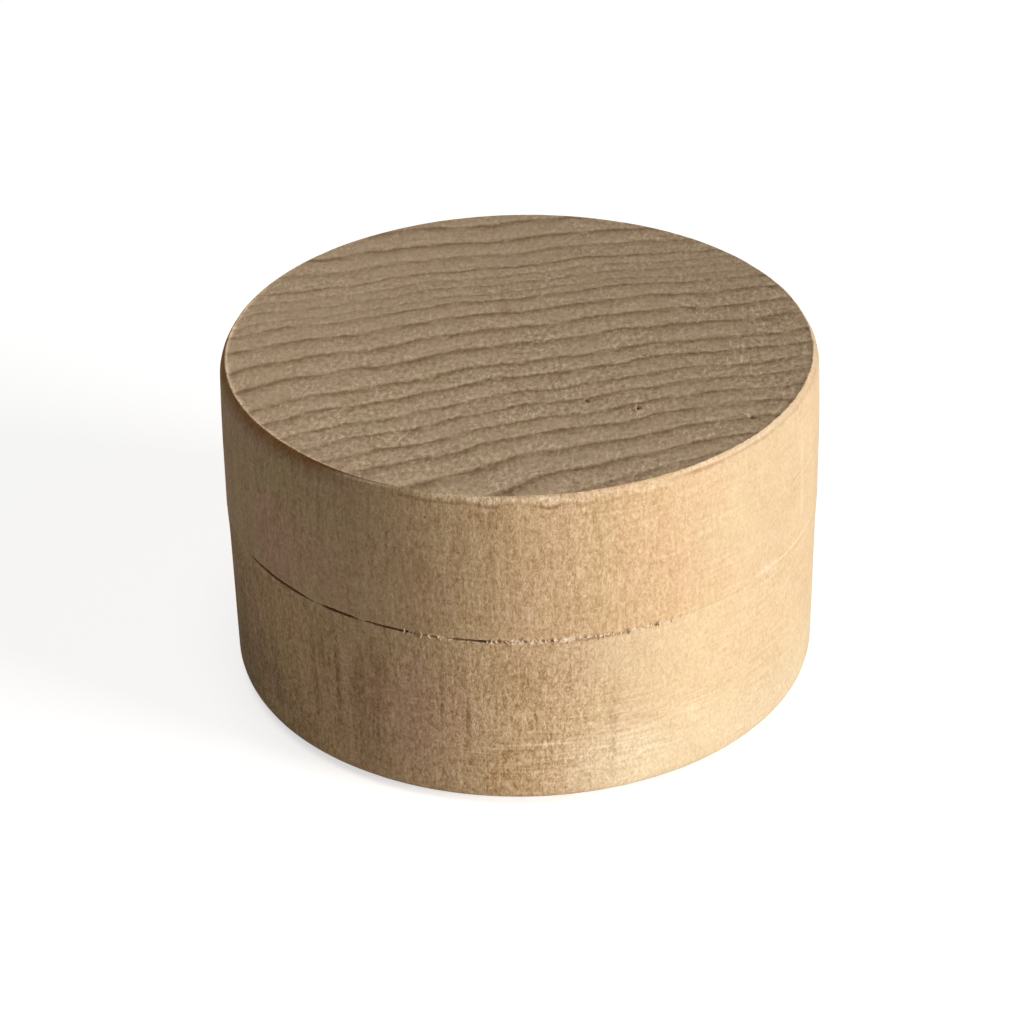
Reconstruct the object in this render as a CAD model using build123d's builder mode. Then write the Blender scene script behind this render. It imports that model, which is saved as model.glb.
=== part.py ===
"""A small round box turned from pale wood in two pieces: a base with a raised spigot, and a lid that lifts off.

The grain runs up the box, so the flat top shows the growth rings on end. The sizes are millimetres, and +Z
is up. The origin is the middle of the underside, on the axis that the box was turned on.
"""

import os

from build123d import *

# Outside of the closed box
box_diameter = 55.0  # across the widest part of the lid
box_height = 32.0
lid_height = 14.4  # from the seam to the flat top
lid_overhang = 0.1  # the lid's rim stands this far outside the base's, all round
crown_draw_in = 0.25  # the lid's wall curves in by this much on its way up to the top
belly_share = 0.25  # how far up the lid's wall it is at its widest
base_draw_in = 0.2  # the base's wall tapers in by this much on its way down to the foot
crown_rounding = 0.7
foot_rounding = 2.0
seam_easing = 0.12  # small bevel on both arrises at the seam

# Spigot of the base, and the socket of the lid that slides over it
skirt_wall = 3.2  # wood left outside the lid's socket
spigot_wall = 2.8
spigot_height = 5.0
spigot_lead_in = 0.5  # bevel at the top of the spigot
socket_lead_in = 0.3  # bevel at the mouth of the socket
fit_clearance = 0.05  # gap between spigot and socket, on the radius
headspace = 0.4  # gap over the spigot when the lid's rim rests on the shoulder

# Inside of the closed box
floor_thickness = 4.5
top_thickness = 4.5
well_corner = 1.6  # bevel between the base's floor and its wall
hollow_corner = 1.6  # bevel between the lid's ceiling and its wall
lip_easing = 0.3  # small bevel on the inner edge at the top of the spigot
step_easing = 0.3  # small bevel where the lid's socket steps in to its hollow

# Worked out from those
lid_radius = box_diameter / 2
crown_radius = lid_radius - crown_draw_in
base_radius = lid_radius - lid_overhang
foot_radius = base_radius - base_draw_in
seam_height = box_height - lid_height
socket_radius = lid_radius - skirt_wall
spigot_radius = socket_radius - fit_clearance
well_radius = spigot_radius - spigot_wall
spigot_top = seam_height + spigot_height
well_depth = spigot_top - floor_thickness
socket_depth = spigot_height + headspace
hollow_depth = lid_height - top_thickness
belly_height = seam_height + lid_height * belly_share


def circles_at(part, height, radius):
    """The circular edges of a turned part that lie at this height and have this radius."""
    near = 1e-4
    return [
        edge
        for edge in part.edges().filter_by(GeomType.CIRCLE)
        if abs(edge.arc_center.Z - height) < near and abs(edge.radius - radius) < near
    ]


# Base: turned outline, then the well bored down into it
with BuildPart() as base:
    with BuildSketch(Plane.XZ) as base_outline:
        with BuildLine():
            Polyline(
                (0, 0),
                (foot_radius, 0),
                (base_radius, seam_height),
                (spigot_radius, seam_height),
                (spigot_radius, spigot_top),
                (0, spigot_top),
                close=True,
            )
        make_face()
        foot = base_outline.vertices().group_by(Axis.Y)[0].sort_by(Axis.X)[-1]
        fillet(foot, radius=foot_rounding)
    revolve(axis=Axis.Z)
    with Locations((0, 0, spigot_top)):
        Hole(radius=well_radius, depth=well_depth)
    chamfer(circles_at(base, floor_thickness, well_radius), length=well_corner)
    chamfer(circles_at(base, spigot_top, well_radius), length=lip_easing)
    chamfer(circles_at(base, spigot_top, spigot_radius), length=spigot_lead_in)
    chamfer(circles_at(base, seam_height, base_radius), length=seam_easing)

# Lid: turned outline with a slight belly, then the socket and the hollow bored up into it
with BuildPart() as lid:
    with BuildSketch(Plane.XZ) as lid_outline:
        with BuildLine():
            Line((0, seam_height), (lid_radius, seam_height))
            Line((lid_radius, seam_height), (lid_radius, belly_height))
            wall = TangentArc((lid_radius, belly_height), (crown_radius, box_height), tangent=(0, 1))
            Line(wall @ 1, (0, box_height))
            Line((0, box_height), (0, seam_height))
        make_face()
        crown = lid_outline.vertices().group_by(Axis.Y)[-1].sort_by(Axis.X)[-1]
        fillet(crown, radius=crown_rounding)
    revolve(axis=Axis.Z)
    with Locations(Plane((0, 0, seam_height), z_dir=(0, 0, -1))):
        Hole(radius=socket_radius, depth=socket_depth)
        Hole(radius=well_radius, depth=hollow_depth)
    chamfer(circles_at(lid, seam_height + hollow_depth, well_radius), length=hollow_corner)
    chamfer(circles_at(lid, seam_height + socket_depth, well_radius), length=step_easing)
    chamfer(circles_at(lid, seam_height, socket_radius), length=socket_lead_in)
    chamfer(circles_at(lid, seam_height, lid_radius), length=seam_easing)

base.part.label = "base"
lid.part.label = "lid"

os.makedirs("parts", exist_ok=True)
export_step(base.part, "parts/base.step")
export_step(lid.part, "parts/lid.step")
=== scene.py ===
"""A small round box turned from limewood, dressed for a studio picture.

It makes the base, the lid that lifts off it, the fibres torn at the seam between them, and a pale floor
with soft light and a camera. Lengths are in metres, and MM turns a millimetre into one. A bearing is a
direction round the box in degrees: 0 faces the camera, and 90 is the box's right-hand side.
"""

import random
from functools import lru_cache, partial
from math import atan2, cos, degrees, hypot, radians, sin, tau

import bmesh
import bpy
from bpy.props import FloatProperty, FloatVectorProperty, IntProperty, PointerProperty
from mathutils import Matrix, Vector, noise


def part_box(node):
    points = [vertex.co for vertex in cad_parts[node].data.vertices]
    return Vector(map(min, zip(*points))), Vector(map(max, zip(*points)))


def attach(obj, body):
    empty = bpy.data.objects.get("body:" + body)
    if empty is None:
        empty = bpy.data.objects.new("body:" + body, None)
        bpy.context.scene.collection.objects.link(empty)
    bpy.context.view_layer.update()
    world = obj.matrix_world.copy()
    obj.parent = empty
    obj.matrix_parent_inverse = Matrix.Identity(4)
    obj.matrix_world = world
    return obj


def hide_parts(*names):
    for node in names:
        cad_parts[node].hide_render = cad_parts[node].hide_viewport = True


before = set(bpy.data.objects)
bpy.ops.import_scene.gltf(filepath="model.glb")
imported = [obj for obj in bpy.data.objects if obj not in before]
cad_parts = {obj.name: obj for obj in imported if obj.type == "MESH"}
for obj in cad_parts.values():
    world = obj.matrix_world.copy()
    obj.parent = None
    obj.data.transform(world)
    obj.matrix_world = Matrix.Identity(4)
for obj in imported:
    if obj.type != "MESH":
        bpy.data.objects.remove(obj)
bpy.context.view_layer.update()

bl_info = {
    "name": "Turned Limewood Box",
    "version": (1, 0, 0),
    "blender": (4, 5, 0),
    "location": "View3D > Sidebar > Turned Box",
    "description": "Builds a round limewood box with a lift-off lid, and a small studio to see it in",
    "category": "Object",
}

MM = 0.001

# Growth rings, read off the top of the lid. Distances are millimetres from the pith of the tree.
FIRST_RING = 179.5
RING_WIDTHS = (
    3.2, 3.2, 3.5, 3.1, 2.5, 2.6, 2.4, 2.9, 2.6, 3.5, 3.2,
    3.1, 2.7, 1.3, 1.8, 1.6, 1.8, 2.8, 3.0, 3.6, 3.4, 3.0,
)
RING_DEPTHS = (
    0.6, 1.0, 0.85, 0.95, 0.75, 0.7, 0.7, 1.0, 0.8, 1.0, 0.85,
    0.9, 0.7, 0.4, 0.45, 0.35, 0.85, 0.45, 1.0, 0.75, 0.65, 0.6,
)
RING_SPAN = sum(RING_WIDTHS)
PITH_DISTANCE = 208.7

# How the rings wander: each wave's depth, length, heading, and where along it the wave starts in degrees
RING_WAVES = (
    (0.26, 16.5, 0, -172),
    (0.12, 7.3, 24, 40),
    (0.07, 4.1, -37, 115),
)
RING_FAN = 0.0034  # the rings spread apart to the left by this much per millimetre each way
RING_FAN_START = 9.0
RING_PINCH = 0.0022  # and the front ones turn in more sharply
RING_PINCH_START = 16.3

# Level of the wood across one year, from the year's start to its dark line: 0 is darkest and 1 palest
YEAR_LEVELS = (
    (0.0, 0.22), (0.05, 0.55), (0.12, 1.0), (0.3, 0.87), (0.55, 0.76),
    (0.68, 0.66), (0.8, 0.4), (0.9, 0.12), (0.95, 0.0), (1.0, 0.08),
)
PLAIN_LEVEL = 0.68  # where no year line shows

# Where the seam stands open: the bearings it runs between, and its height in millimetres
OPEN_SEAMS = (
    (-67, -41, 0.42), (-41.8, -31.4, 0.34), (-32.2, -19.3, 0.26), (-19.5, -15.5, 0.05), (-15.4, -5.6, 0.25),
    (-4.4, -3.0, 0.06), (-1.2, 0.5, 0.05), (98, 120, 0.16), (134, 141, 0.14), (161, 188, 0.2),
    (203, 214, 0.15), (233, 262, 0.18), (276, 288, 0.15),
)
CLOSED_SEAM = 0.02
LIP_REACH = 0.8  # how far from the seam its lips are shaped, in millimetres
FLUSH_SEAMS = ((5, 97), (-105, -67))  # bearings between which the halves meet so well that it hardly shows

# Runs of fibre torn at the seam: the bearings each runs between, and how many fibres it has
TORN_RUNS = ((-23, -15, 12), (-7, 9, 22), (9, 24, 26), (24, 30, 6), (97, 253, 80))
FIBRE_SEED = 5


def on_wall(bearing, height, radius=27.45):
    """Millimetre point on the outside of the box, at a bearing and a height."""
    turn = radians(bearing)
    return (sin(turn) * radius, -cos(turn) * radius, height)


# The tree's pith seen from each half, in millimetres. The two halves stand turned against each other.
LID_PITH = Vector((56.0, -201.0, 0.0))
BASE_PITH = Vector((-118.0, -172.0, 0.0))

# Dark and pale marks: middle, half its width and half its height in millimetres, and strength. A middle of
# two numbers is a bearing and a height on the wall.
LID_DARK = (
    ((19.3, -14.0, 32.0), 0.7, 0.3, 0.3),
    ((3.0, 9.5, 32.0), 0.2, 0.3, 0.4),
    ((-25.5, 26.4), 0.15, 4.6, 0.38),
    ((-18, 29.5), 0.26, 0.2, 0.7),
    ((-13, 29.4), 0.14, 0.5, 0.45),
    ((-9, 25.0), 7.0, 9.0, 0.1),
    ((-8, 30.1), 3.2, 0.9, 0.22),
    ((-4.8, 17.7), 0.22, 0.32, 0.9),
    ((-2.8, 17.7), 0.16, 0.3, 0.8),
    ((-0.7, 17.8), 0.14, 0.4, 0.9),
    ((4.8, 17.6), 0.9, 0.16, 0.7),
)
LID_PALE = (
    ((5.95, -10.3, 32.0), 0.2, 0.3, 0.4),
    ((10.6, -11.7, 32.0), 0.22, 0.3, 0.45),
    ((20.1, -13.8, 32.0), 0.25, 0.3, 0.35),
    (on_wall(-3.2, 20.2, 27.5), 0.16, 1.8, 0.5),
    (on_wall(-14.5, 23.6, 27.5), 0.15, 1.8, 0.35),
    (on_wall(0.6, 20.6, 27.5), 0.14, 1.3, 0.3),
    # Painted highlight: the next two run along the lid's lower edge at the seam on the right
    ((52, 18.0), 2.4, 0.42, 0.4),
    ((62, 17.9), 6.5, 0.26, 0.3),
    ((66, 24.0), 0.5, 6.0, 0.2),
)
BASE_DARK = (
    ((-44, 9.0), 0.5, 8.5, 0.35),
    ((-41.5, 12.0), 0.3, 4.5, 0.4),
    ((-38, 10.0), 0.35, 8.0, 0.6),
    ((-33, 8.0), 1.1, 8.0, 0.28),
    ((-29.5, 9.5), 1.0, 8.0, 0.26),
    ((-16, 11.0), 0.3, 5.0, 0.4),
    ((4, 8.0), 0.35, 6.0, 0.35),
    ((-11, 8.0), 0.35, 7.0, 0.35),
    ((16, 6.5), 0.5, 6.0, 0.25),
    ((-21, 14.6), 0.12, 1.6, 0.4),
    ((8, 13.5), 0.14, 3.6, 0.42),
    ((1, 13.5), 4.5, 3.6, 0.16),
    ((38, 11.5), 0.14, 0.55, 0.55),
    ((-4.8, 17.5), 0.22, 0.26, 0.9),
    ((-0.7, 17.4), 0.14, 0.4, 0.9),
    ((4.8, 17.6), 0.9, 0.16, 0.7),
)
BASE_PALE = (
    ((-19, 16.0), 0.08, 1.3, 0.5),
    ((-1, 12.0), 0.08, 1.7, 0.35),
    ((3, 6.6), 5.0, 0.11, 0.5),
    ((17, 3.5), 5.5, 5.5, 0.25),
)

# Broad patches of side grain that are a little redder, and one that is a little greener
PINK_PATCHES = (((-50, 22.5), 7.5, 4.8, 0.9), ((-22, 8.5), 7.0, 7.0, 0.8))
OLIVE_PATCHES = (((-57, 28.5), 6.0, 2.6, 0.8),)

# Where the tool's level lines show most on each half
LID_LINED = (((12, 30.0), 12.0, 1.4, 0.35),)
BASE_LINED = (((14, 7.0), 11.0, 5.0, 0.9), ((-3, 5.0), 6.5, 3.2, 1.5))

# Small pits torn out of the lid's top: place across and depth in millimetres
PITS = (((5.9, -10.65), 0.2), ((10.4, -12.1), 0.4), ((9.8, -12.65), 0.07), ((20.25, -14.25), 0.34))

# Marks that each half carries point by point: pale torn fibre partly painted highlight, the bored faces,
# painted shade in hollows, and brown stain and painted shade
POINT_MARKS = ("torn", "bored", "dusty", "stained")

PALE_SIDE = 98  # bearing of the side painted palest and plainest, as the lit side
TOOL_STEP = 0.3  # from one ring left by the tool to the next on the bored faces, in millimetres

# The turned shapes are spun as one wedge, which is then doubled this many times
DOUBLINGS = 4

# The studio: strength of the floor's glow, which only the camera sees, and of the surround's light, and the
# width and height of the lights and where the one overhead hangs, in metres
FLOOR_GLOW = 0.63
WHITE = (1, 1, 1, 1)
SURROUND_LIGHT = 0.03
KEY_SIZE = (0.42, 0.2)
OVERHEAD_SIZE = (0.6, 0.6)
OVERHEAD_PLACE = (-0.16, -0.08, 0.95)

lid_low, lid_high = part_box("lid")
base_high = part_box("base")[1]


def linear(hex_colour):
    """Turns an sRGB hex colour into the linear red, green and blue that Blender works in."""
    channels = (int(hex_colour[i : i + 2], 16) / 255 for i in (1, 3, 5))
    return tuple(c / 12.92 if c <= 0.04045 else ((c + 0.055) / 1.055) ** 2.4 for c in channels)


def smooth(low, high, value):
    """Rises smoothly from 0 at low to 1 at high."""
    share = min(1.0, max(0.0, (value - low) / (high - low)))
    return share * share * (3 - 2 * share)


def between(start, end, edge, value):
    """1 between start and end, fading to 0 over an edge on either side."""
    return smooth(start - edge, start + edge, value) * smooth(end + edge, end - edge, value)


def length(name, description, default):
    """A length that a user may change, in metres."""
    return FloatProperty(name=name, description=description, default=default, unit="LENGTH", precision=5)


def angle(name, description, default):
    """An angle that a user may change, set here in degrees."""
    return FloatProperty(name=name, description=description, default=radians(default), subtype="ANGLE")


def shade(name, description, hex_colour):
    """A colour that a user may change."""
    return FloatVectorProperty(
        name=name, description=description, subtype="COLOR", default=linear(hex_colour), min=0, max=1
    )


class BoxSizes(bpy.types.PropertyGroup):
    """Sizes of the turned box."""

    lid_radius: length("Lid radius", "Widest part of the lid", lid_high.x)
    base_radius: length("Base radius", "Widest part of the base", base_high.x)
    height: length("Height", "From the table to the flat top", lid_high.z)
    seam: length("Seam", "Height of the seam", lid_low.z)
    spigot_top: length("Spigot top", "Height of the spigot's rim", base_high.z)
    crown_draw_in: length("Crown draw-in", "How far the lid's wall curves in at the top", 0.25 * MM)
    base_draw_in: length("Base draw-in", "How far the base's wall tapers in at the foot", 0.2 * MM)
    crown_rounding: length("Crown rounding", "Rounded top edge", 0.7 * MM)
    foot_rounding: length("Foot rounding", "Rounded bottom edge", 2.0 * MM)
    seam_easing: length("Seam easing", "Softened edges at the seam", 0.12 * MM)
    socket_radius: length("Socket radius", "Bore of the lid's socket", 24.3 * MM)
    socket_depth: length("Socket depth", "From the lid's rim up", 5.4 * MM)
    fit_clearance: length("Fit clearance", "Gap between spigot and socket, on the radius", 0.05 * MM)
    well_radius: length("Well radius", "Bore of the base and lid", 21.45 * MM)
    floor: length("Floor", "Thickness of the base's floor", 4.5 * MM)
    ceiling: length("Ceiling", "Thickness of the lid's top", 4.5 * MM)
    corner: length("Inner corner", "Bevel inside base and lid", 1.6 * MM)
    lead_in: length("Lead-in", "Bevel at the top of the spigot", 0.5 * MM)
    easing: length("Easing", "Softened inner edges", 0.3 * MM)
    steps: IntProperty(name="Steps", description="Divisions round the box", default=768, min=32)


class WoodLook(bpy.types.PropertyGroup):
    """Colours of the limewood. The tints are what other colours are multiplied by."""

    early: shade("Early wood", "Pale wood that grows in spring", "#E2C6A2")
    late: shade("Late wood", "Dark line that ends each year", "#A58766")
    # This pale also paints the highlights on the seam's lips and the crown's arris
    torn: shade("Torn fibre", "Raised fibre where the tool tore the wood", "#EFD5B4")
    # Painted shade: this tint browns the side grain away from its lit right
    brown: shade("Browner side", "Tint of the side grain where it is browner", "#F7EEE0")
    # Painted light: this tint makes the lit right of the side grain paler and yellower
    fair: shade("Fairer side", "Tint of the side grain where it is paler and yellower", "#FFFFF8")
    olive: shade("Olive patches", "Tint of the greener patches", "#FCFFFA")
    pink: shade("Pink patches", "Tint of the redder patches", "#FFFAFF")
    # Painted shade: the dark brown inside the seam, in the pits and dips of the top and under the left arris
    dust: shade("Dust", "Dark dust that has gathered inside the open seam", "#9C6C3A")
    # Besides real streaks and specks, this brown paints shade under the seam's torn lips and the crown's
    # arris
    stain: shade("Stain", "Brown streaks and specks", "#855F3A")


class StudioLook(bpy.types.PropertyGroup):
    """Camera and light of the studio."""

    elevation: angle("Elevation", "Camera's height above the horizon", 31.01)
    roll: angle("Roll", "Tilt of the camera about its view", 1.24)
    distance: length("Distance", "From the camera to the box", 327.8 * MM)
    lens: FloatProperty(name="Lens", description="Focal length", default=123.2, subtype="DISTANCE_CAMERA")
    aside: length("Aside", "How far left the camera stands", 0.97 * MM)
    below: length("Below", "How far down the camera stands", 1.52 * MM)
    key_bearing: angle("Key bearing", "Side that the main light comes from", 66)
    key_elevation: angle("Key elevation", "Height of the main light", 7)
    key_power: FloatProperty(name="Key power", description="Main light", default=14.4, subtype="POWER")
    top_power: FloatProperty(
        name="Top power", description="Soft light overhead", default=3.1, subtype="POWER"
    )
    paper: shade("Paper", "Pale floor", "#F2F1EF")


def bearing_of(point):
    """Bearing of a point round the box."""
    return degrees(atan2(point.x, -point.y))


def wander(point, size, seed, drawn_out=1.0):
    """Smooth noise from -1 to 1, its bumps this many millimetres across and perhaps drawn out up the box."""
    return noise.noise(Vector((point.x, point.y, point.z / drawn_out)) / (size * MM) + Vector((seed, 0, 0)))


@lru_cache(maxsize=None)
def seam_opening(bearing):
    """Height of the open seam at a bearing, in millimetres."""
    opening = CLOSED_SEAM
    for start, end, height in OPEN_SEAMS:
        for turn in (bearing, bearing + 360):
            off_middle = abs(2 * turn - start - end) / (end - start)
            opening = max(opening, height * smooth(1.0, 0.45, off_middle))
    return opening


def flush(bearing):
    """How far the seam is closed up flush at a bearing, from 0 to 1."""
    return max(between(start, end, 3, bearing) for start, end in FLUSH_SEAMS)


def filled(bearing):
    """How far the softened edges at the seam are filled in at a bearing, from 0 to 1."""
    return max(flush(bearing), 0.8 * between(-66, 30, 2, bearing), between(-6, 27, 2, bearing))


def pale_lips(bearing):
    """How pale the seam's lips are at a bearing, from 0 to 1: torn fibre, partly a painted highlight."""
    plain = max(between(29, 97, 3, bearing), between(-105, -66, 3, bearing))
    return (0.35 + 0.45 * between(-23, 25, 3, bearing) + 0.2 * between(9, 22, 3, bearing)) * (1 - plain)


def torn_edge(point, bearing, away):
    """How far torn fibre stands out from a seam lip in millimetres, and the painted shade of its hollows."""
    near = between(-8, 26, 3, bearing) * smooth(0.5, 0.12, away)
    uneven = wander(point, 0.45, 31, 2)
    return 0.15 * near * smooth(-0.1, 0.4, uneven), 0.6 * near * smooth(-0.02, -0.25, uneven)


def seam_lip(point, bearing, away, inward, easing, waves):
    """What the seam does to a lip at a point this far up or down from it and in from the wall.

    Waves are the depth and the seed of the lip's uneven line. Gives how far the point swells out, stands out
    with torn fibre and moves away from the seam, and how pale it is (torn fibre and painted highlight), how
    brown (painted shade between torn fibres) and how dark with painted shade inside the seam. All in
    millimetres.
    """
    depth, seed = waves
    near_lip = smooth(LIP_REACH, 0.0, away) * smooth(0.5, 0.22, inward)
    closing = flush(bearing)
    opening = seam_opening(round(bearing, 2))
    ragged = depth * wander(point, 0.5, seed, 9) + 0.03 * wander(point, 0.25, seed + 5, 9)
    ragged *= 1 - 0.9 * between(-5, 26, 3, bearing)
    gap = (opening / 2 + max(-0.01, ragged)) * (1 - closing)
    eased = smooth(0.0, easing, away) * smooth(LIP_REACH, easing, away)
    shift = near_lip * gap - filled(bearing) * eased * (easing - 0.015 + 0.012 * closing)
    standing, brown = torn_edge(point, bearing, away)
    swell = 0.03 * wander(point, 6, 0) + 0.01 * wander(point, 0.9, 1, 6)
    inside = smooth(0.06, 0.2, inward) if away < 0.5 else 0.0
    # Pale lips: torn fibre, and partly a painted highlight along the lips
    reach = 0.3 + 0.2 * between(-8, 10, 2, bearing)
    pale = pale_lips(bearing) * smooth(reach, reach / 3, away) * near_lip * (1 - inside)
    # Painted shade: the faces inside the seam are dark brown, where the gap is deep
    dust = near_lip * inside * max(smooth(0.04, 0.15, opening), between(-24, 30, 2, bearing))
    return swell, standing, shift, pale, brown, dust


def crown_share(bearing):
    """How wide the crown's bevel is at a bearing, as a share of its plain size."""
    return 0.4 + 0.85 * smooth(-35, 55, bearing) + 0.8 * smooth(-28, -52, bearing)


def left_arris(bearing):
    """How far the crown's arris stands up as a sharp burr at a bearing, from 0 to 1."""
    return smooth(-26, -70, bearing) * smooth(-128, -98, bearing)


def crown_marks(point, bearing, inward, below):
    """How pale, dark and brown the crown is at a point, from its millimetres in from the wall and down.

    On the left a pale arris, partly torn fibre and partly a painted highlight, has painted brown shade right
    under it. In front a torn band ends in a wavy brown line, a painted shadow under its lip, and on the right
    the band is pale at the arris, partly a painted highlight, with a ragged tan line under it.
    """
    if below > 2.4 or inward > 1.0:
        return 0.0, 0.0, 0.0
    slow = wander(point, 1.5, 6, 9)
    quick = wander(point, 0.6, 3, 9)
    left = smooth(-28, -39, bearing) * smooth(-140, -105, bearing)
    corner = between(-37, -24, 4, bearing)
    front = between(-24, 27, 3, bearing)
    right = between(29, 96, 4, bearing)
    # The pale arris is partly torn fibre and partly a painted highlight, on the left and on the right
    arris = smooth(0.04, 0.012, below) * smooth(0.55, 0.45, inward)
    torn = arris * (0.3 + 0.2 * slow + 0.65 * left + 0.5 * right)
    low = 0.95 + 0.25 * slow + 0.12 * quick
    band = front * smooth(-0.6, 0.1, quick) * smooth(-26, -8, bearing)
    band *= 0.3 + 0.42 * smooth(14, 0, bearing)
    torn = max(torn, band * between(0.1, low - 0.12, 0.08, below))
    torn = max(torn, corner * (0.8 + 0.4 * quick) * between(0.2, 0.7, 0.1, below))
    torn = max(torn, 0.5 * right * between(0.04, 0.28 + 0.1 * slow, 0.08, below) * smooth(66, 46, bearing))
    # Painted shade under the left arris, below the burr: a broad stained band and a narrow brown one
    stained = left * 0.45 * smooth(2.2, 0.4, below) * smooth(0.05, 0.2, below)
    brown = smooth(-22, -33, bearing) * smooth(-140, -105, bearing) * (0.95 + 0.3 * slow)
    brown *= smooth(0.9 + 0.3 * slow, 0.1, below) * smooth(0.012, 0.04, below)
    brown *= 1 - corner * between(0.2, 0.7, 0.1, below)
    # Painted shadow: a wavy brown line under the front band's lip
    line = front * (0.5 + 0.45 * slow) * (0.3 + 0.7 * smooth(14, 3, bearing))
    stained = max(stained, line * between(low, low + 0.2, 0.09, below))
    edge = 0.34 + 0.1 * slow + 0.1 * quick
    under = right * between(edge - 0.06, edge + 0.16, 0.07, below) * (0.36 - 0.16 * smooth(42, 56, bearing))
    stained = max(stained, under * (1 + 0.8 * quick))
    stained = max(stained, 0.22 * right * smooth(1.0, 0.55, inward) * smooth(0.03, 0.005, below))
    return torn, max(0.0, stained), max(0.0, brown)


def outline(corners):
    """The outline through these corners: radius, height, and spacing of the run up to it in millimetres."""
    points = [Vector(corners[0][:2])]
    for start, end in zip(corners, corners[1:]):
        run = Vector(end[:2]) - Vector(start[:2])
        count = max(1, round(run.length / (end[2] * MM)))
        points += [Vector(start[:2]) + run * (k / count) for k in range(1, count + 1)]
    return points


def spun(points, steps):
    """A closed bmesh, spun from an outline whose two ends lie on the axis, in a multiple of 16 steps."""
    bm = bmesh.new()
    chain = [bm.verts.new((radius, 0, height)) for radius, height in points]
    edges = [bm.edges.new(pair) for pair in zip(chain, chain[1:])]
    wedges = 2**DOUBLINGS
    wedge = tau / wedges
    bmesh.ops.spin(bm, geom=chain + edges, cent=(0, 0, 0), axis=(0, 0, 1), angle=wedge, steps=steps // wedges)
    for doubling in range(DOUBLINGS):
        copied = bmesh.ops.duplicate(bm, geom=bm.verts[:] + bm.edges[:] + bm.faces[:])["geom"]
        bmesh.ops.rotate(
            bm,
            verts=[item for item in copied if isinstance(item, bmesh.types.BMVert)],
            cent=(0, 0, 0),
            matrix=Matrix.Rotation(wedge * 2**doubling, 3, "Z"),
        )
    bmesh.ops.remove_doubles(bm, verts=bm.verts, dist=0.0005 * MM)
    bmesh.ops.recalc_face_normals(bm, faces=bm.faces)
    return bm


def pitted(bm, height):
    """Tears the small pits out of the flat top at this height."""
    for (x, y), depth in PITS:
        middle = Vector((x * MM, y * MM, height))
        for reach in (1.0, 0.8, 0.6):
            near = [
                edge
                for edge in bm.edges
                if (edge.verts[0].co + edge.verts[1].co - 2 * middle).length < 2 * reach * MM
            ]
            bmesh.ops.subdivide_edges(bm, edges=near, cuts=1, use_grid_fill=True)
        for vert in [vert for vert in bm.verts if (vert.co - middle).length < 0.75 * MM]:
            off = vert.co - middle
            away = hypot(off.x, 0.7 * off.y) / MM + 0.14 * wander(vert.co, 0.2, 5)
            vert.co.z -= depth * MM * smooth(0.26, 0.12, away)


def placed(bm, name, material):
    """Makes a bmesh into an object of the scene, with its material."""
    mesh = bpy.data.meshes.new(name)
    bm.to_mesh(mesh)
    bm.free()
    mesh.materials.append(material)
    item = bpy.data.objects.new(name, mesh)
    bpy.context.scene.collection.objects.link(item)
    return item


def finished(bm, name, body, material, replaced=None):
    """Makes a bmesh into a piece that rides on a body, with its material and its place in the frame."""
    piece = placed(bm, name, material)
    piece.data.shade_smooth()
    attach(piece, body)
    if replaced:
        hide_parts(replaced)
    return piece


def add(tree, kind, inputs=(), **settings):
    """Adds one node with its settings, and gives its outputs.

    Its inputs, in order or by socket, are values or outputs. A node's outputs as a whole mean its first.
    """
    node = tree.nodes.new(kind)
    for name, value in settings.items():
        setattr(node, name, value)
    given = inputs if isinstance(inputs, dict) else dict(enumerate(inputs))
    for socket, value in given.items():
        value = value[0] if isinstance(value, bpy.types.bpy_prop_collection) else value
        if isinstance(value, bpy.types.NodeSocket):
            tree.links.new(value, node.inputs[socket])
        else:
            node.inputs[socket].default_value = value
    return node.outputs


def emptied(owner):
    """The node tree of a material or world, with its own nodes cleared away."""
    owner.use_nodes = True
    owner.node_tree.nodes.clear()
    return owner.node_tree


def ramp(outputs, stops, interpolation="LINEAR"):
    """Sets the stops of a colour ramp to grey levels, and gives its outputs."""
    colours = outputs[0].node.color_ramp
    colours.interpolation = interpolation
    colours.elements.remove(colours.elements[1])
    for index, (position, level) in enumerate(stops):
        stop = colours.elements[0] if index == 0 else colours.elements.new(position)
        stop.position = position
        stop.color = (level, level, level, 1)
    return outputs


# Names of the nodes and settings used again and again
MATHS = "ShaderNodeMath"
VECTORS = "ShaderNodeVectorMath"
NOISE = "ShaderNodeTexNoise"
MIX = "ShaderNodeMix"
RANGE = "ShaderNodeMapRange"
SUM = {"operation": "ADD"}
DIFFERENCE = {"operation": "SUBTRACT"}
PRODUCT = {"operation": "MULTIPLY"}
PRODUCT_SUM = {"operation": "MULTIPLY_ADD"}
GREATER = {"operation": "MAXIMUM"}
DOT = {"operation": "DOT_PRODUCT"}
SMOOTH = {"interpolation_type": "SMOOTHSTEP"}
COLOUR = {"data_type": "RGBA"}


def grain(tree, place, across, along, detail=2.0, roughness=0.5):
    """Noise from about -0.25 to 0.25, its grains this many millimetres across and along the fibres."""
    drawn_out = add(tree, VECTORS, (place, (1 / across, 1 / across, 1 / along)), **PRODUCT)
    sizes = {"Vector": drawn_out, "Scale": 1.0, "Detail": detail, "Roughness": roughness}
    return add(tree, MATHS, (add(tree, NOISE, sizes), 0.5), **DIFFERENCE)


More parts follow.
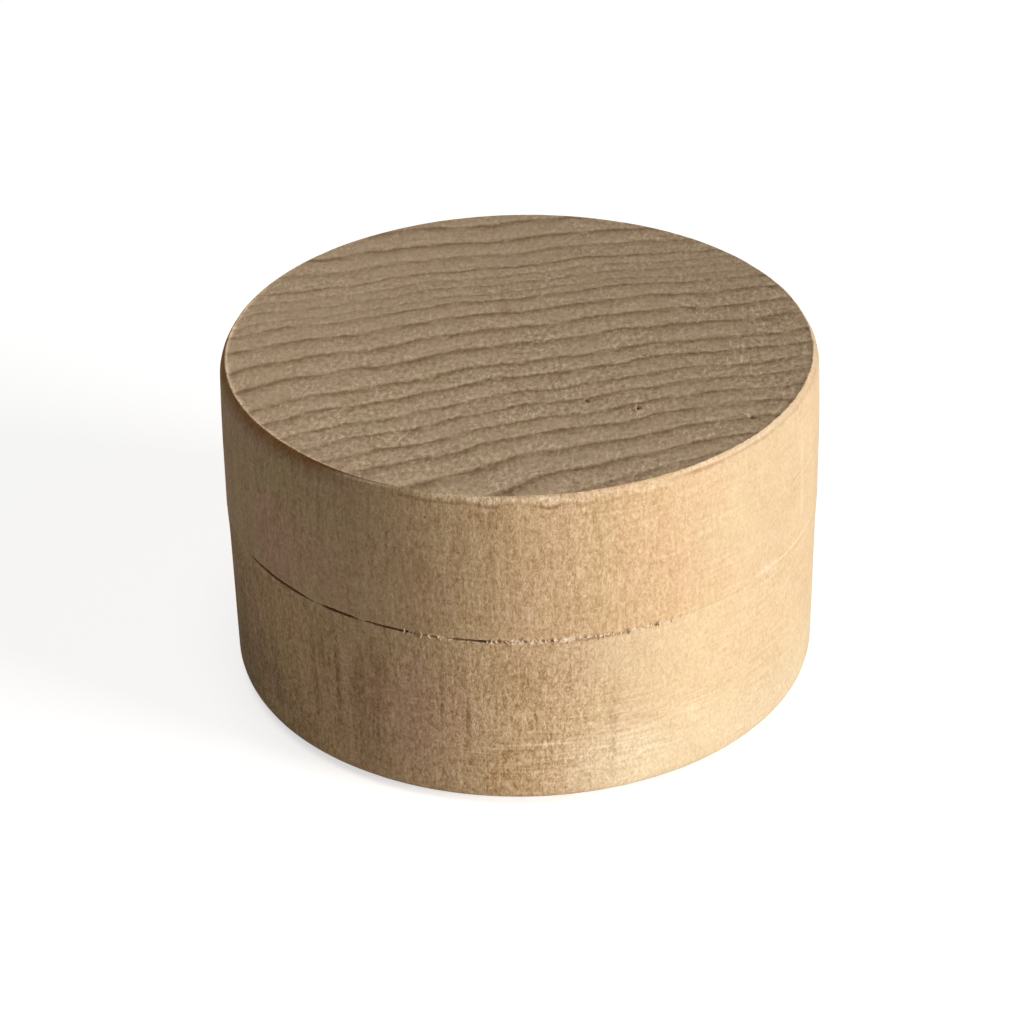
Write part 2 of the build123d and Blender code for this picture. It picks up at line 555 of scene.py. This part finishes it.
def ring_nodes(tree, flat, pith):
    """Year shares, line depths and a place that runs across and along the rings, for points on the plan."""
    node = partial(add, tree)
    along = Vector((-pith.y, pith.x, 0)).normalized()
    from_pith = node(VECTORS, (flat, tuple(pith)), operation="DISTANCE")[1]
    aside = node(VECTORS, (flat, tuple(along)), **DOT)[1]
    off_middle = node(MATHS, (from_pith, PITH_DISTANCE), **DIFFERENCE)
    fan = node(MATHS, (off_middle, RING_FAN_START), **SUM)
    fan = node(MATHS, (fan, RING_FAN), **PRODUCT)
    pinch = node(MATHS, (off_middle, RING_PINCH_START), **SUM)
    pinch = node(MATHS, (pinch, 0.0), operation="MINIMUM")
    pinch = node(MATHS, (pinch, pinch), **PRODUCT)
    turned_in = node(MATHS, (pinch, -RING_PINCH, fan), **PRODUCT_SUM)
    measure = node(MATHS, (turned_in, aside, from_pith), **PRODUCT_SUM)
    for depth, wavelength, heading, start in RING_WAVES:
        way = Matrix.Rotation(radians(heading), 3, "Z") @ along * (tau / wavelength)
        turn = node(VECTORS, (flat, tuple(way)), **DOT)[1]
        turn = node(MATHS, (turn, radians(start)), **SUM)
        wave = node(MATHS, (turn,), operation="SINE")
        measure = node(MATHS, (wave, -depth, measure), **PRODUCT_SUM)
    for across, weight in ((1.0, 0.65), (0.3, 0.3)):
        measure = node(MATHS, (grain(tree, flat, across, across), weight, measure), **PRODUCT_SUM)
    share = node(MATHS, (measure, FIRST_RING), **DIFFERENCE)
    share = node(MATHS, (share, RING_SPAN), operation="DIVIDE")
    counted = node("ShaderNodeFloatCurve", {1: share})[0]
    curve = counted.node.mapping.curves[0]
    reached = 0.0
    for index, width in enumerate(RING_WIDTHS):
        reached += width
        if index < len(RING_WIDTHS) - 1:
            curve.points.new(reached / RING_SPAN, (index + 1) / len(RING_WIDTHS))
    for point in curve.points:
        point.handle_type = "VECTOR"
    counted.node.mapping.update()
    rings = node(MATHS, (counted, len(RING_WIDTHS)), **PRODUCT)
    phase = node(MATHS, (rings,), operation="FRACT")
    stops = [(index / len(RING_WIDTHS), depth) for index, depth in enumerate(RING_DEPTHS)]
    depth = ramp(node("ShaderNodeValToRGB", (counted,)), stops, "CONSTANT")
    on_rings = node("ShaderNodeCombineXYZ", (measure, aside))
    return phase, depth, on_rings


def marked(tree, place, marks):
    """Strength of the nearest of these marks at each point, from 0 to 1."""
    strongest = 0.0
    for middle, half_width, half_height, strength in marks:
        middle = on_wall(*middle) if len(middle) == 2 else middle
        away = add(tree, VECTORS, (place, middle), **DIFFERENCE)
        away = add(tree, VECTORS, (away, (1 / half_width, 1 / half_width, 1 / half_height)), **PRODUCT)
        away = add(tree, VECTORS, (away,), operation="LENGTH")[1]
        mark = add(tree, RANGE, (away, 0.45, 1.1, strength, 0.0), **SMOOTH)
        strongest = add(tree, MATHS, (strongest, mark), **GREATER)
    return strongest


def limewood(name, pith, dark_marks, pale_marks, lined_marks, lit_span, rough):
    """Bare limewood, turned across its fibres and left unsanded.

    To the eye it is matt and pale. End grain is greyer, speckled, and crossed by thin dark year lines that
    are sharp on their outer side. Side grain is finely crinkled upright, with faint rings left by the tool.
    Painted light and shade make the side yellower and plainer on its lit right, browner round to its shaded
    left, and darker at the far right, at the foot and under the crown on the left, and the top lighter to
    the left and front. Lit span gives the bearings where the painted paler wood starts and is full, and rough
    is how strong the side grain is in front and on the left.
    """
    look = bpy.context.scene.wood_look
    material = bpy.data.materials.new(name)
    tree = emptied(material)
    node = partial(add, tree)
    coordinates = node("ShaderNodeTexCoord")
    place = node(VECTORS, {0: coordinates["Object"], "Scale": 1 / MM}, operation="SCALE")
    flat = node(VECTORS, (place, (1, 1, 0)), **PRODUCT)
    height = node("ShaderNodeSeparateXYZ", (place,))[2]
    grains = partial(grain, tree, place)

    # 1 on faces that cut the fibres across, 0 along them
    facing = node(VECTORS, (coordinates["Normal"], (0, 0, 1)), **DOT)[1]
    facing = node(MATHS, (facing,), operation="ABSOLUTE")
    end_grain = node(RANGE, (facing, 0.78, 0.95), **SMOOTH)
    side_grain = node(MATHS, (1.0, end_grain), **DIFFERENCE)

    # 1 on the lit right-hand side, where painted light makes the wood paler and plainer
    outward = node(VECTORS, (flat,), operation="NORMALIZE")
    to_right = node(VECTORS, (outward, on_wall(PALE_SIDE, 0, 1)), **DOT)[1]
    paler, palest = (cos(radians(PALE_SIDE - bearing)) for bearing in lit_span)
    to_right = node(MATHS, (grains(6.0, 9.0), 0.25, to_right), **PRODUCT_SUM)
    fair = node(RANGE, (to_right, paler, palest), **SMOOTH)
    fair = node(MATHS, (fair, side_grain), **PRODUCT)
    plain = node(MATHS, (1.0, fair), **DIFFERENCE)
    leftmost = node(RANGE, (to_right, -0.45, -0.85), **SMOOTH)
    leftmost = node(MATHS, (leftmost, side_grain), **PRODUCT)

    # Year lines: deep on end grain, broken along their length, and faint on side grain
    phase, depth, on_rings = ring_nodes(tree, flat, pith)
    level = ramp(node("ShaderNodeValToRGB", (phase,)), YEAR_LEVELS)
    broken = node(VECTORS, (on_rings, (1.1, 0.36, 0)), **PRODUCT)
    broken = node(NOISE, {"Vector": broken, "Scale": 1.0, "Detail": 2.0})
    broken = node(RANGE, (broken, 0.34, 0.62, 0.4, 1.6), **SMOOTH)
    contrast = node(MATHS, (side_grain, plain), **PRODUCT)
    contrast = node(MATHS, (contrast, 0.09, end_grain), **PRODUCT_SUM)
    sideways = node(VECTORS, (flat, (1, 0, 0)), **DOT)[1]
    sideways = node(MATHS, (sideways,), operation="ABSOLUTE")
    weaker = node(RANGE, (sideways, 6.0, 20.0, 1.0, 0.74), **SMOOTH)
    for share in (depth, weaker, broken):
        contrast = node(MATHS, (contrast, share), **PRODUCT)
    level = node(MIX, {0: contrast, 2: PLAIN_LEVEL, 3: level}, data_type="FLOAT")
    colour = node(MIX, {0: level, 6: (*look.late, 1), 7: (*look.early, 1)}, **COLOUR)[2]

    # Tints: painted shade browns the side away from its lit right, most of all low on the left, painted light
    # yellows its lit right, and patches are a little greener or redder
    browner = node(MATHS, (plain, side_grain), **PRODUCT)
    low_left = node(RANGE, (height, 18.2, 16.0, 0.0, 0.45), **SMOOTH)
    browner = node(MATHS, (low_left, leftmost, browner), **PRODUCT_SUM)
    above_foot = node(RANGE, (height, 2.0, 11.0), **SMOOTH)
    yellower = node(MATHS, (fair, above_foot), **PRODUCT)
    for share, tint in ((browner, look.brown), (yellower, look.fair)):
        tinted = node(VECTORS, (colour, tuple(tint)), **PRODUCT)
        colour = node(MIX, {0: share, 6: colour, 7: tinted}, clamp_factor=False, **COLOUR)[2]
    redder = node(MATHS, (leftmost, 2.6, 1.4), **PRODUCT_SUM)
    redder = node(MATHS, (grains(3.6, 7.0), redder, 0.5), **PRODUCT_SUM)
    redder = node(MATHS, (marked(tree, place, PINK_PATCHES), redder), **SUM)
    redder = node(MATHS, (redder, marked(tree, place, OLIVE_PATCHES)), **DIFFERENCE)
    patches = {0: redder, 6: (*look.olive, 1), 7: (*look.pink, 1)}
    patches = node(MIX, patches, clamp_factor=False, **COLOUR)[2]
    colour = node(VECTORS, (colour, patches), **PRODUCT)

    # Thin streaks that follow the rings on end grain
    streaky = node(VECTORS, (on_rings, (2.2, 0.6, 0)), **PRODUCT)
    streaky = node(NOISE, {"Vector": streaky, "Scale": 1.0, "Detail": 2.0})
    streaky = node(MATHS, (streaky, 0.5), **DIFFERENCE)

    # Speckle of cut fibre ends that the tool pushed over, with pale clusters where they stand up. It is
    # stronger towards the front.
    pushed = node(VECTORS, (place, (1, 0.6, 1)), **PRODUCT)
    fine = grain(tree, pushed, 0.2, 0.2, 1.0)
    coarse = grain(tree, pushed, 0.42, 0.42, 1.0, 0.6)
    clusters = node(RANGE, (grains(3.6, 3.6), -0.05, 0.14), **SMOOTH)
    raised = node(RANGE, (coarse, 0.0, 0.2), **SMOOTH)
    raised = node(MATHS, (raised, clusters), **PRODUCT)
    speckle = 0.0
    for part, weight in ((streaky, 0.42), (coarse, 0.68), (fine, 0.3), (raised, 0.09)):
        speckle = node(MATHS, (part, weight, speckle), **PRODUCT_SUM)
    dashes = node(RANGE, (streaky, 0.07, 0.17, 0.0, -0.14), **SMOOTH)
    speckle = node(MATHS, (dashes, speckle), **SUM)
    uneven = node(RANGE, (grains(9.0, 9.0), -0.1, 0.12, 0.8, 1.2), **SMOOTH)
    frontward = node(VECTORS, (flat, (0.35, -1, 0)), **DOT)[1]
    frontward = node(RANGE, (frontward, -12.0, 9.0, 0.92, 1.3), **SMOOTH)
    frontward = node(MATHS, (frontward, end_grain), **PRODUCT)
    for share in (uneven, frontward):
        speckle = node(MATHS, (speckle, share), **PRODUCT)

    # Crinkled side grain: pale and dark curly threads, fleck-like fibres, upright strands and bundles, and
    # level lines that the tool left. Grains are 0.28 mm and up, because finer ones don't show.
    elsewhere = node(VECTORS, (place, (7.3, 1.9, 4.1)), **SUM)
    curls = []
    for start, across, along in ((place, 0.5, 0.62), (elsewhere, 0.55, 0.9)):
        curl = node(MATHS, (grain(tree, start, across, along, 1.0),), operation="ABSOLUTE")
        curls.append(node(RANGE, (curl, 0.0, 0.07, 1.0, 0.0), **SMOOTH))
    threads, hollows = curls
    fibres = grains(0.28, 0.52, 2.0, 0.6)
    strands = grains(0.3, 1.8, 1.0)
    bundles = grains(0.8, 7.0)
    lines = grains(4.0, 0.28, 1.0)
    lined = node(RANGE, (grains(6.0, 3.0), -0.06, 0.14, 0.15, 0.6), **SMOOTH)
    lined = node(MATHS, (lined, marked(tree, place, lined_marks)), **SUM)
    lined = node(MATHS, (lined, side_grain), **PRODUCT)
    lines = node(MATHS, (lines, lined), **PRODUCT)
    upright = node(MATHS, (bundles, 0.24), **PRODUCT)
    upright = node(MATHS, (strands, 0.5, upright), **PRODUCT_SUM)
    crinkle = node(MATHS, (upright, plain), **PRODUCT)
    for part, weight in ((fibres, 0.72), (threads, 0.23), (hollows, -0.2)):
        crinkle = node(MATHS, (part, weight, crinkle), **PRODUCT_SUM)
    # The grain is weaker on the lit right, partly painted light; rough sets its strength in front and on the
    # left
    softer = node(RANGE, (fair, 0.15, 0.95, 1.0, 0.62), **SMOOTH)
    right_half = node(RANGE, (to_right, -0.05, 0.45, 1.0, 0.5), **SMOOTH)
    rougher = node(RANGE, (to_right, -0.3, -0.7, *rough), **SMOOTH)
    for share in (right_half, rougher, side_grain):
        softer = node(MATHS, (softer, share), **PRODUCT)
    crinkle = node(MATHS, (crinkle, softer), **PRODUCT)
    crinkle = node(MATHS, (lines, 0.4, crinkle), **PRODUCT_SUM)
    speckle = node(MATHS, (grains(2.4, 3.2), 0.14, speckle), **PRODUCT_SUM)

    # Painted shade: the far right and the left are darker, most of all at the foot, at the leftmost edge and
    # under the crown, and painted light makes the top paler towards the left and front
    painted_shading = node(RANGE, (to_right, 0.29, 0.81, 0.0, -0.18), **SMOOTH)
    painted_shading = node(MATHS, (painted_shading, side_grain), **PRODUCT)
    crowned = node(RANGE, (height, 23.0, 30.0, -0.05, -0.12), **SMOOTH)
    footed = node(RANGE, (height, 14.0, 4.0, 0.0, -0.2), **SMOOTH)
    far_left = node(RANGE, (to_right, -0.74, -0.92), **SMOOTH)
    left_shade = node(MATHS, (footed, far_left, crowned), **PRODUCT_SUM)
    leftmost_edge = node(RANGE, (to_right, -0.88, -0.96, 0.0, -0.3), **SMOOTH)
    left_shade = node(MATHS, (leftmost_edge, low_left, left_shade), **PRODUCT_SUM)
    painted_shading = node(MATHS, (left_shade, leftmost, painted_shading), **PRODUCT_SUM)
    sloping = node(VECTORS, (flat, (-0.0038, -0.0018, 0)), **DOT)[1]
    painted_shading = node(MATHS, (sloping, end_grain, painted_shading), **PRODUCT_SUM)
    painted_shading = node(MATHS, (painted_shading, 1.02), **SUM)

    # Fine detail changes blue most and red least, so that hollows look warmer and raised fibres chalkier
    tone = node(VECTORS, (speckle, (1.0, 1.18, 1.45), painted_shading), **PRODUCT_SUM)
    tone = node(VECTORS, (crinkle, (1.0, 1.35, 1.85), tone), **PRODUCT_SUM)

    # Painted light: the right of the foot is a little less red, offsetting the warm light bounced between
    # the wood and the floor
    at_foot = node(RANGE, (height, 10.0, 4.0), **SMOOTH)
    at_foot = node(MATHS, (at_foot, fair), **PRODUCT)
    tone = node(VECTORS, (at_foot, (0.0, 0.055, 0.05), tone), **PRODUCT_SUM)

    # Torn places, paler where fibres stand up and brown where they were pulled out, and other marks. The
    # pale also paints highlights on the seam's lips and the crown's arris, and the browns paint shade in the
    # seam, the pits and under the crown
    attributes = [node("ShaderNodeAttribute", attribute_name=name) for name in POINT_MARKS]
    ragged, bored, dust, stained = (outputs["Fac"] for outputs in attributes)
    pulled = grains(0.32, 0.6, 2.0, 0.6)
    gouged = node(RANGE, (pulled, -0.01, -0.1, 0.0, 0.7), **SMOOTH)
    low_down = node(RANGE, (height, 28.0, 26.0), **SMOOTH)
    for share in (ragged, low_down):
        gouged = node(MATHS, (gouged, share), **PRODUCT)
    standing = node(RANGE, (pulled, -0.12, 0.06, 0.3, 1.0), **SMOOTH)
    ragged = node(MATHS, (standing, ragged), **PRODUCT)
    shaken = node(NOISE, {"Vector": place, "Scale": 4.0, "Detail": 2.0})[1]
    shaken = node(VECTORS, (shaken, (0.5, 0.5, 0.5)), **DIFFERENCE)
    shaken = node(VECTORS, (shaken, (0.4, 0.4, 0.4), place), **PRODUCT_SUM)
    pale = node(MATHS, (marked(tree, shaken, pale_marks), ragged), **GREATER)
    flecks = node(RANGE, (grains(0.34, 0.8, 1.0), -0.04, 0.06, 1.3, 0.25), **SMOOTH)
    dark = node(MATHS, (marked(tree, shaken, dark_marks), flecks), **PRODUCT)
    for share in (stained, gouged):
        dark = node(MATHS, (dark, share), **GREATER)
    for share, paint in ((pale, look.torn), (dark, look.stain), (dust, look.dust)):
        colour = node(MIX, {0: share, 6: colour, 7: (*paint, 1)}, **COLOUR)[2]
    colour = node(VECTORS, (colour, tone), **PRODUCT)

    # Rings left by the tool on the bored faces
    out = node(VECTORS, (flat,), operation="LENGTH")[1]
    tooling = node(MATHS, (out, height), **SUM)
    tooling = node(MATHS, (tooling, 1 / TOOL_STEP), **PRODUCT)
    tooling = node(NOISE, {"W": tooling, "Scale": 1.0, "Detail": 1.0}, noise_dimensions="1D")
    tooling = node(MATHS, (tooling, bored), **PRODUCT)

    # Height of the surface in millimetres
    relief = 0.0
    parts = (hollows, -0.005), (bundles, 0.013), (strands, 0.015), (fibres, 0.026), (threads, 0.005)
    for part, weight in parts:
        relief = node(MATHS, (part, weight, relief), **PRODUCT_SUM)
    relief = node(MATHS, (relief, softer), **PRODUCT)
    relief = node(MATHS, (lines, 0.018, relief), **PRODUCT_SUM)
    ends = 0.0
    parts = (streaky, 0.01), (coarse, 0.014), (fine, 0.002), (raised, 0.006), (level, 0.006)
    for part, weight in parts:
        ends = node(MATHS, (part, weight, ends), **PRODUCT_SUM)
    relief = node(MATHS, (ends, frontward, relief), **PRODUCT_SUM)
    for part, weight in ((tooling, 0.02), (ragged, 0.03), (dark, -0.015)):
        relief = node(MATHS, (part, weight, relief), **PRODUCT_SUM)
    bump = node("ShaderNodeBump", {"Height": relief, "Strength": 1.0, "Distance": MM})
    roughness = node(MATHS, (fibres, 0.2, 0.74), **PRODUCT_SUM)
    surface = {"Base Color": colour, "Roughness": roughness, "Normal": bump}
    wood = node("ShaderNodeBsdfPrincipled", {**surface, "IOR": 1.5, "Specular IOR Level": 0.25})
    node("ShaderNodeOutputMaterial", {"Surface": wood})
    return material


class TURNEDBOX_OT_base(bpy.types.Operator):
    """Turn the base: rounded foot, shoulder at the seam, raised spigot and bored well"""

    bl_idname = "turned_box.base"
    bl_label = "Base"

    def execute(self, context):
        size = context.scene.box_sizes
        seam, top, well = size.seam, size.spigot_top, size.well_radius
        foot_radius = size.base_radius - size.base_draw_in
        spigot_radius = size.socket_radius - size.fit_clearance
        foot = []
        for k in range(1, 11):
            turn = radians(9 * k)
            inward, height = (size.foot_rounding * (1 - share) for share in (cos(turn), sin(turn)))
            foot.append((foot_radius - inward, height, 0.4))
        corners = [
            (0, size.floor),
            (well - size.corner, size.floor, 1.6),
            (well, size.floor + size.corner, 0.5),
            (well, top - size.easing, 1.8),
            (well + size.easing, top, 0.2),
            (spigot_radius - size.lead_in, top, 0.6),
            (spigot_radius, top - size.lead_in, 0.25),
            (spigot_radius, seam, 0.9),
            (size.base_radius - 1.2 * MM, seam, 0.7),
            (size.base_radius - size.seam_easing, seam, 0.15),
            (size.base_radius, seam - size.seam_easing, 0.06),
            (size.base_radius, seam - 0.9 * MM, 0.1),
            (foot_radius, size.foot_rounding, 0.5),
            *foot,
            (0, 0, 2),
        ]
        bm = spun(outline(corners), size.steps)
        torn, bored, dusty, stained = (bm.verts.layers.float.new(name) for name in POINT_MARKS)
        for vert in bm.verts:
            radius = hypot(vert.co.x, vert.co.y)
            depth = (seam - vert.co.z) / MM
            outside = smooth(spigot_radius + 0.5 * MM, size.base_radius - MM, radius) if depth > -1 else 0.0
            vert[bored] = 1 - outside
            if outside == 0:
                continue
            bearing = bearing_of(vert.co)
            outward = Vector((vert.co.x / radius, vert.co.y / radius, 0))
            inward = (size.base_radius - radius) / MM
            swell, standing, shift, pale, brown, dust = seam_lip(
                vert.co, bearing, depth, inward, size.seam_easing / MM, (0.05, 3)
            )
            swell += 0.08 * smooth(3, 0, depth) + 0.6 * standing
            vert.co += outward * MM * swell * outside
            vert.co.z -= shift * MM
            # Painted shadow: a tan line just under the seam, beneath the torn lip
            line = 0.6 * between(9, 20, 2, bearing) * between(0.0, 0.36, 0.1, depth)
            vert[torn] = pale
            vert[dusty] = dust
            vert[stained] = max(line, brown)
        wood = limewood(
            "turned_limewood_base", BASE_PITH, BASE_DARK, BASE_PALE, BASE_LINED, (-4, 22), (1.05, 0.85)
        )
        finished(bm, "base_turned", "base", wood, "base")
        return {"FINISHED"}


class TURNEDBOX_OT_lid(bpy.types.Operator):
    """Turn the lid: flat end-grain top, bevelled crown, bellied wall, socket and hollow"""

    bl_idname = "turned_box.lid"
    bl_label = "Lid"

    def execute(self, context):
        size = context.scene.box_sizes
        seam, top, well = size.seam, size.height, size.well_radius
        crown_radius = size.lid_radius - size.crown_draw_in
        ceiling = top - size.ceiling
        edge = size.crown_rounding
        belly = seam + (top - seam) / 4

        def wall_at(height):
            """Radius of the bellied wall at a height."""
            rise = max(0.0, (height - belly) / (top - belly))
            return size.lid_radius - size.crown_draw_in * rise**2

        crown = [(0.8, 0.0), (0.62, 0.0), (0.53, 0.015), (0.48, 0.06)]
        crown += [(0.33, 0.3), (0.18, 0.6), (0.1, 0.78), (0.04, 1.0)]
        wall = []
        for drop, spacing in ((1.1, 0.1), (1.5, 0.12), (2.2, 0.25), (5.0, 0.5), (8.0, 0.5), (10.8, 0.5)):
            height = top - drop * MM
            wall.append((wall_at(height), height, spacing))
        corners = [
            (0, top),
            (crown_radius - 1.6 * MM, top, 1.3),
            *((crown_radius - inward * edge, top - drop * edge, 0.25) for inward, drop in crown),
            *wall,
            (size.lid_radius, seam + 0.9 * MM, 0.5),
            (size.lid_radius, seam + size.seam_easing, 0.1),
            (size.lid_radius - size.seam_easing, seam, 0.06),
            (size.lid_radius - 1.2 * MM, seam, 0.15),
            (size.socket_radius + size.easing, seam, 0.7),
            (size.socket_radius, seam + size.easing, 0.2),
            (size.socket_radius, seam + size.socket_depth, 0.9),
            (well + size.easing, seam + size.socket_depth, 0.9),
            (well, seam + size.socket_depth + size.easing, 0.2),
            (well, ceiling - size.corner, 1.2),
            (well - size.corner, ceiling, 0.5),
            (0, ceiling, 1.6),
        ]
        bm = spun(outline(corners), size.steps)
        pitted(bm, top)
        torn, bored, dusty, stained = (bm.verts.layers.float.new(name) for name in POINT_MARKS)
        for vert in bm.verts:
            radius = hypot(vert.co.x, vert.co.y)
            below = top - vert.co.z
            rise = vert.co.z - seam
            bearing = bearing_of(vert.co)
            inward = crown_radius - radius
            # The top dips just inside the left of the arris, which stands up as a burr
            if below < 0.005 * MM:
                burr = left_arris(bearing) * (0.045 + 0.04 * wander(vert.co, 2.4, 9))
                burr *= smooth(0.44 * MM, 0.56 * MM, inward) * smooth(4 * MM, 0.7 * MM, inward)
                vert.co.z -= burr * MM
            # Painted shade darkens the pits and dips in the top, the deeper the darker; the top also gets a
            # slight unevenness
            if below < 0.6 * MM and inward > MM:
                vert[dusty] = smooth(0.06 * MM, 0.2 * MM, below)
                level = 0.012 * wander(vert.co, 1.6, 2) + 0.015 * wander(vert.co, 7, 4) - 0.017
                vert.co.z += MM * level * smooth(crown_radius - 1.2 * MM, crown_radius - 4 * MM, radius)
                continue
            outside = smooth(size.socket_radius + 0.4 * MM, crown_radius - 1.2 * MM, radius)
            vert[bored] = 1 - outside
            if outside == 0:
                continue
            outward = Vector((vert.co.x / radius, vert.co.y / radius, 0))
            # The crown's bevel is narrowest in front on the left, and ragged most on the right
            crumble = 0.1 * wander(vert.co, 3.1, 7, 9) + 0.07 * wander(vert.co, 1.1, 2, 9)
            grow = crown_share(bearing) * (1 + crumble * (0.6 + 0.4 * smooth(-60, 10, bearing))) - 1
            near = smooth(2.2 * edge, edge, inward) * smooth(2.6 * edge, 1.1 * edge, below)
            vert.co -= outward * max(0.0, min(inward, edge)) * grow * near
            vert.co.z -= min(below, edge) * grow * near
            from_wall = (size.lid_radius - radius) / MM
            swell, standing, shift, pale, brown, dust = seam_lip(
                vert.co, bearing, rise / MM, from_wall, size.seam_easing / MM, (0.04, 13)
            )
            vert.co += outward * MM * (swell + standing) * outside * smooth(1.5 * edge, 0.0, inward)
            vert.co.z += shift * MM
            crown_pale, crown_stain_and_shade, crown_shade = crown_marks(vert.co, bearing, inward / MM, below / MM)
            vert[torn] = max(crown_pale, pale)
            vert[stained] = max(crown_stain_and_shade, brown)
            vert[dusty] = max(crown_shade, dust)
        wood = limewood(
            "turned_limewood_lid", LID_PITH, LID_DARK, LID_PALE, LID_LINED, (26, 50), (0.85, 0.62)
        )
        finished(bm, "lid_turned", "lid", wood, "lid")
        return {"FINISHED"}


class TURNEDBOX_OT_fibres(bpy.types.Operator):
    """Raise the fibres that the tool tore at the seam, on the lid's rim and on the base's shoulder"""

    bl_idname = "turned_box.fibres"
    bl_label = "Torn Fibres"

    def execute(self, context):
        size = context.scene.box_sizes
        chance = random.Random(FIBRE_SEED)
        for body, upward, radius, lifts in (
            ("lid", -1, size.lid_radius, (0.0, 0.08)),
            ("base", 1, size.base_radius, (0.28, 0.5)),
        ):
            wood = bpy.data.materials[f"turned_limewood_{body}"]
            bm = bmesh.new()
            for start, end, count in TORN_RUNS:
                for _ in range(count // 2):
                    turn = radians(chance.uniform(start, end))
                    long = chance.uniform(0.2, 0.55) * MM
                    wide = chance.uniform(0.07, 0.2) * MM
                    lean = chance.gauss(0, 0.45)
                    lift = chance.uniform(*lifts)
                    outward = Vector((sin(turn), -cos(turn), 0))
                    sideways = Vector((cos(turn), sin(turn), 0))
                    way = (Vector((0, 0, upward)) + sideways * lean + outward * lift).normalized()
                    height = size.seam - upward * chance.uniform(0.08, 0.2) * MM
                    root = outward * (radius - 0.01 * MM) + Vector((0, 0, height))
                    turned = way.to_track_quat("Z", "Y").to_matrix().to_4x4()
                    bmesh.ops.create_cone(
                        bm,
                        cap_ends=True,
                        segments=4,
                        radius1=wide,
                        radius2=wide * 0.25,
                        depth=long,
                        matrix=Matrix.Translation(root + way * long / 2) @ turned,
                    )
            torn = bm.verts.layers.float.new("torn")
            for vert in bm.verts:
                vert[torn] = 0.45
            bmesh.ops.recalc_face_normals(bm, faces=bm.faces)
            finished(bm, f"{body}_torn_fibres", body, wood).data.shade_flat()
        return {"FINISHED"}


class TURNEDBOX_OT_studio(bpy.types.Operator):
    """Set the pale floor, the soft lights, the white surround and the camera"""

    bl_idname = "turned_box.studio"
    bl_label = "Studio"

    def execute(self, context):
        scene = context.scene
        look = scene.studio_look
        scene.view_settings.view_transform = "Standard"
        middle = Vector((0, 0, scene.box_sizes.height / 2))

        paper = bpy.data.materials.new("matt_paper")
        tree = emptied(paper)
        matt = add(tree, "ShaderNodeBsdfDiffuse", {"Color": (*look.paper, 1)})
        glow = add(tree, "ShaderNodeEmission", {"Color": WHITE, "Strength": FLOOR_GLOW})
        lifted = add(tree, "ShaderNodeAddShader", {0: matt, 1: glow})
        seen = add(tree, "ShaderNodeLightPath")["Is Camera Ray"]
        shown = add(tree, "ShaderNodeMixShader", {0: seen, 1: matt, 2: lifted})
        add(tree, "ShaderNodeOutputMaterial", {"Surface": shown})
        bm = bmesh.new()
        bmesh.ops.create_grid(bm, x_segments=1, y_segments=1, size=3.0)
        floor = placed(bm, "floor", paper)

        world = bpy.data.worlds.new("white_surround")
        tree = emptied(world)
        seen = add(tree, "ShaderNodeLightPath")["Is Camera Ray"]
        dim = add(tree, "ShaderNodeBackground", {"Color": WHITE, "Strength": SURROUND_LIGHT})
        white = add(tree, "ShaderNodeBackground", {"Color": WHITE, "Strength": 1.0})
        shown = add(tree, "ShaderNodeMixShader", {0: seen, 1: dim, 2: white})
        add(tree, "ShaderNodeOutputWorld", {"Surface": shown})
        scene.world = world

        key_way = Vector(
            (
                sin(look.key_bearing) * cos(look.key_elevation),
                -cos(look.key_bearing) * cos(look.key_elevation),
                sin(look.key_elevation),
            )
        )
        for name, way, power, size in (
            ("key", key_way, look.key_power, KEY_SIZE),
            ("overhead", Vector(OVERHEAD_PLACE), look.top_power, OVERHEAD_SIZE),
        ):
            data = bpy.data.lights.new(name, "AREA")
            data.shape = "RECTANGLE"
            data.size, data.size_y = size
            data.energy = power
            light = bpy.data.objects.new(name, data)
            light.location = middle + way
            light.rotation_mode = "QUATERNION"
            light.rotation_quaternion = (-way).to_track_quat("-Z", "Y")
            scene.collection.objects.link(light)

        rise = look.elevation
        back = Vector((0, -cos(rise), sin(rise)))
        up = Vector((0, sin(rise), cos(rise)))
        right = Vector((1, 0, 0))
        data = bpy.data.cameras.new("camera")
        data.lens = look.lens
        data.clip_start = 0.01
        data.clip_end = 20
        camera = bpy.data.objects.new("camera", data)
        turned = Matrix((right, up, back)).transposed() @ Matrix.Rotation(-look.roll, 3, "Z")
        place = middle + back * look.distance - right * look.aside - up * look.below
        camera.matrix_world = Matrix.Translation(place) @ turned.to_4x4()
        scene.collection.objects.link(camera)
        scene.camera = camera
        return {"FINISHED"}


OPERATORS = (TURNEDBOX_OT_base, TURNEDBOX_OT_lid, TURNEDBOX_OT_fibres, TURNEDBOX_OT_studio)


class TURNEDBOX_PT_panel(bpy.types.Panel):
    """The box's sizes and colours, and a button for each piece"""

    bl_idname = "TURNEDBOX_PT_panel"
    bl_label = "Turned Box"
    bl_space_type = "VIEW_3D"
    bl_region_type = "UI"
    bl_category = "Turned Box"

    def draw(self, context):
        for operator in OPERATORS:
            self.layout.operator(operator.bl_idname)
        for group in (getattr(context.scene, name) for name in GROUPS):
            box = self.layout.box()
            for name in group.__annotations__:
                box.prop(group, name)


GROUPS = {"box_sizes": BoxSizes, "wood_look": WoodLook, "studio_look": StudioLook}
CLASSES = (*GROUPS.values(), *OPERATORS, TURNEDBOX_PT_panel)


def register():
    for cls in CLASSES:
        bpy.utils.register_class(cls)
    for name, group in GROUPS.items():
        setattr(bpy.types.Scene, name, PointerProperty(type=group))


def unregister():
    for name in GROUPS:
        delattr(bpy.types.Scene, name)
    for cls in reversed(CLASSES):
        bpy.utils.unregister_class(cls)


def main():
    """Builds the box and its studio."""
    register()
    bpy.ops.turned_box.studio()
    bpy.ops.turned_box.base()
    bpy.ops.turned_box.lid()
    bpy.ops.turned_box.fibres()


if __name__ == "__main__":
    main()
